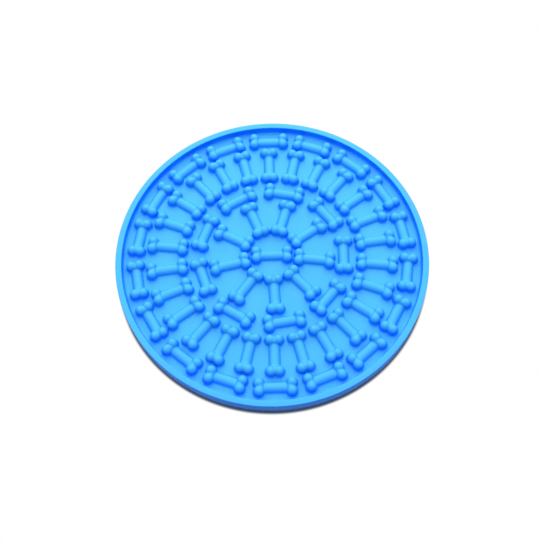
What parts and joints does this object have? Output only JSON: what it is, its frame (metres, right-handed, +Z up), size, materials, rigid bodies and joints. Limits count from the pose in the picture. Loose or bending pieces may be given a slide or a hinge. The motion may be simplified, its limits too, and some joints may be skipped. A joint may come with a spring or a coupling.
{
  "type": "lick mat",
  "caption": "Round silicone lick mat: a shallow rimmed tray with rings of raised bone-shaped bumps that hold paste or wet food, standing on suction cups.",
  "frame": {"origin": "on the surface that the suction cups stand on, below the middle of the mat", "axes": "+Z up out of the tray, +X along the centre bone"},
  "size_m": [0.2, 0.2, 0.0135],
  "materials": {
    "blue_silicone": "moulded silicone, matt to satin"
  },
  "bodies": {
    "suction_cups": {"suction_cup_01": "blue_silicone", "suction_cup_02": "blue_silicone", "suction_cup_03": "blue_silicone", "suction_cup_04": "blue_silicone", "suction_cup_05": "blue_silicone", "suction_cup_06": "blue_silicone", "suction_cup_07": "blue_silicone", "suction_cup_08": "blue_silicone", "suction_cup_09": "blue_silicone", "suction_cup_10": "blue_silicone", "suction_cup_11": "blue_silicone", "suction_cup_12": "blue_silicone", "suction_cup_13": "blue_silicone", "suction_cup_14": "blue_silicone", "suction_cup_15": "blue_silicone", "suction_cup_16": "blue_silicone", "suction_cup_17": "blue_silicone", "suction_cup_18": "blue_silicone", "suction_cup_19": "blue_silicone"},
    "mat": {"mat_floor": "blue_silicone", "rim": "blue_silicone", "centre_bone": "blue_silicone", "inner_spoke_bone_1": "blue_silicone", "inner_spoke_bone_2": "blue_silicone", "inner_spoke_bone_3": "blue_silicone", "inner_spoke_bone_4": "blue_silicone", "inner_spoke_bone_5": "blue_silicone", "inner_spoke_bone_6": "blue_silicone", "inner_spoke_bone_7": "blue_silicone", "inner_spoke_bone_8": "blue_silicone", "inner_spoke_bone_9": "blue_silicone", "inner_ring_bone_1": "blue_silicone", "inner_ring_bone_2": "blue_silicone", "inner_ring_bone_3": "blue_silicone", "inner_ring_bone_4": "blue_silicone", "inner_ring_bone_5": "blue_silicone", "inner_ring_bone_6": "blue_silicone", "inner_ring_bone_7": "blue_silicone", "inner_ring_bone_8": "blue_silicone", "inner_ring_bone_9": "blue_silicone", "outer_ring_bone_01": "blue_silicone", "outer_ring_bone_02": "blue_silicone", "outer_ring_bone_03": "blue_silicone", "outer_ring_bone_04": "blue_silicone", "outer_ring_bone_05": "blue_silicone", "outer_ring_bone_06": "blue_silicone", "outer_ring_bone_07": "blue_silicone", "outer_ring_bone_08": "blue_silicone", "outer_ring_bone_09": "blue_silicone", "outer_ring_bone_10": "blue_silicone", "outer_ring_bone_11": "blue_silicone", "outer_ring_bone_12": "blue_silicone", "outer_ring_bone_13": "blue_silicone", "outer_ring_bone_14": "blue_silicone", "outer_ring_bone_15": "blue_silicone", "outer_ring_bone_16": "blue_silicone", "outer_ring_bone_17": "blue_silicone", "outer_ring_bone_18": "blue_silicone", "outer_spoke_bones": "blue_silicone"}
  },
  "joints": [
    {"name": "press_down", "type": "slide", "parent": "suction_cups", "child": "mat", "axis": [0, 0, 1], "range_m": [-0.003, 0], "stiffness_N_per_m": 10000, "deforming": ["suction_cup_01", "suction_cup_02", "suction_cup_03", "suction_cup_04", "suction_cup_05", "suction_cup_06", "suction_cup_07", "suction_cup_08", "suction_cup_09", "suction_cup_10", "suction_cup_11", "suction_cup_12", "suction_cup_13", "suction_cup_14", "suction_cup_15", "suction_cup_16", "suction_cup_17", "suction_cup_18", "suction_cup_19"]}
  ]
}
